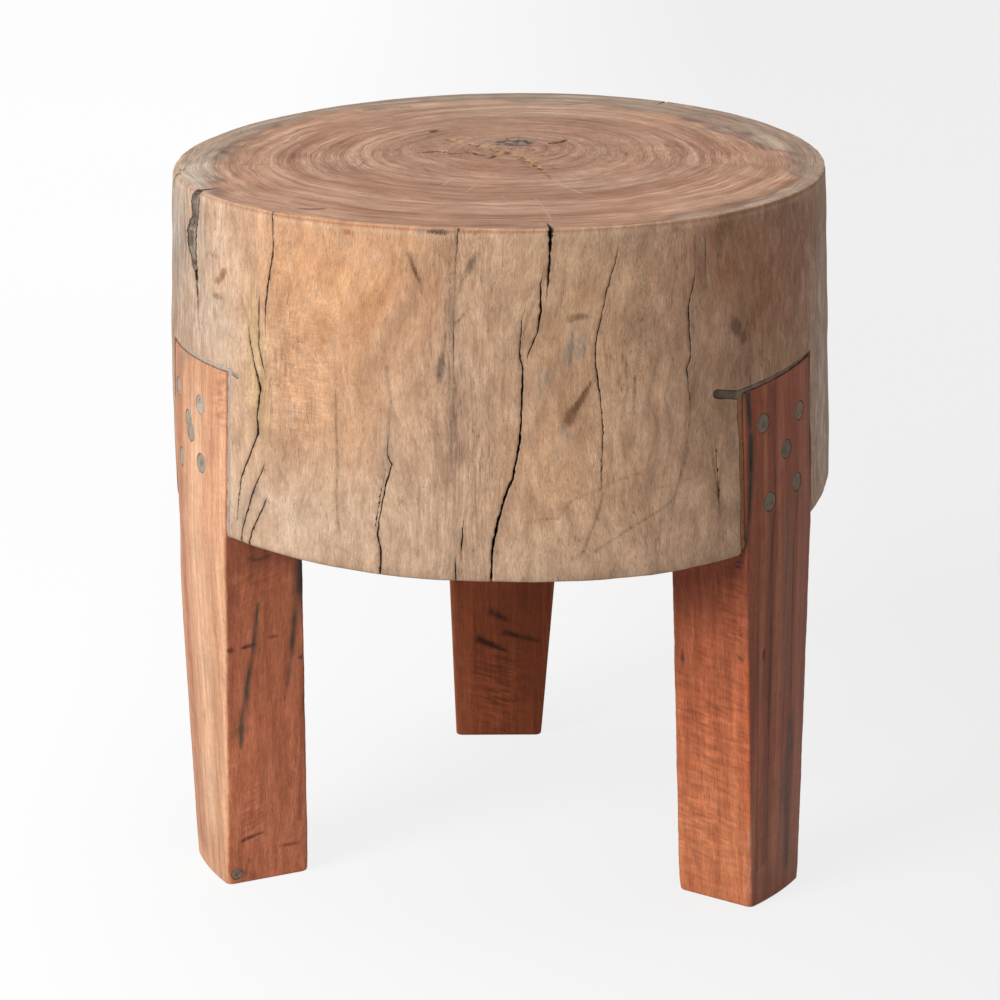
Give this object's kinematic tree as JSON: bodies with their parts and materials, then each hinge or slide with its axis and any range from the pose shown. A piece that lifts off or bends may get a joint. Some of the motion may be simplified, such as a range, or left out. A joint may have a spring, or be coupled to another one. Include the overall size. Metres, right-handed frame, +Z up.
{
  "type": "round end table",
  "caption": "Round end table: a thick drum of log with drying checks, standing on tapered square hardwood legs let flush into its side, screwed, plugged and filled.",
  "frame": {"origin": "on the floor, under the middle of the whole table", "axes": "+Z up, -Y towards the front, which is the side in the picture, +X to the viewer's right"},
  "size_m": [0.4242, 0.4384, 0.457],
  "materials": {
    "log_wood": "bare, sanded",
    "leg_wood": "satin oil",
    "wood_filler": "matt grey filler",
    "screw_steel": "plated"
  },
  "bodies": {
    "root": {"log_drum": "log_wood", "front_left_leg": "leg_wood", "front_left_screws": "screw_steel", "front_left_screw_plugs": "wood_filler", "front_left_seam_filler": "wood_filler", "front_right_leg": "leg_wood", "front_right_screws": "screw_steel", "front_right_screw_plugs": "wood_filler", "front_right_seam_filler": "wood_filler", "rear_leg": "leg_wood", "rear_screws": "screw_steel", "rear_screw_plugs": "wood_filler", "rear_seam_filler": "wood_filler", "foot_knot_filler": "wood_filler"}
  },
  "joints": []
}
